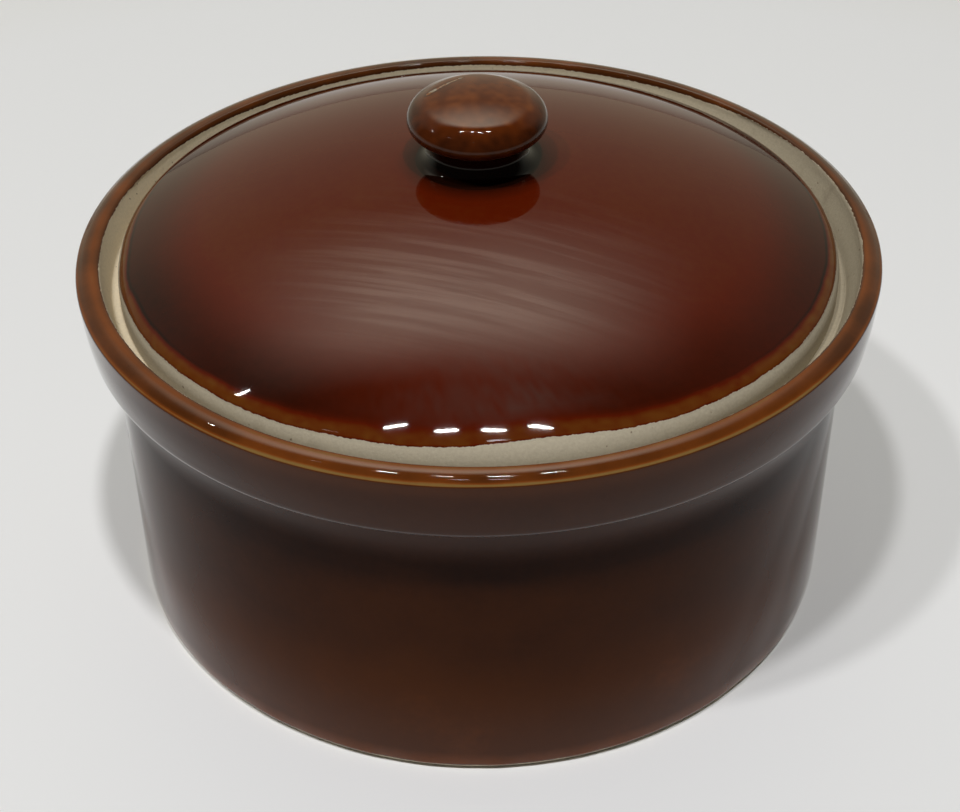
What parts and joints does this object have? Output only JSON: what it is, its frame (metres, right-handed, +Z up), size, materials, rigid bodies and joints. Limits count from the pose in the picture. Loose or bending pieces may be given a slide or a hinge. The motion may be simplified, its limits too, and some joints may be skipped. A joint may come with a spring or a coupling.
{
  "type": "covered bowl",
  "caption": "Round straight-sided stoneware casserole with a thick collar and a loose domed lid that sits inside the lip and lifts off by a mushroom knob.",
  "frame": {"origin": "centre of the foot ring, on the surface that the bowl stands on", "axes": "+Z up along the axis that every piece is turned about; -Y faces the camera of the picture"},
  "size_m": [0.21, 0.21, 0.1392],
  "materials": {
    "bowl_glaze": "glossy red-brown glaze, bare buff clay on the lid ledge and the foot ring",
    "lid_glaze": "glossy red-brown glaze, bare buff clay on the lid's side and seat"
  },
  "bodies": {
    "bowl": {"bowl": "bowl_glaze"},
    "lid": {"lid": "lid_glaze", "lid_knob": "lid_glaze"}
  },
  "joints": [
    {"name": "lid_lift", "type": "slide", "parent": "bowl", "child": "lid", "axis": [0, 0, 1], "range_m": [0, 0.12]}
  ]
}
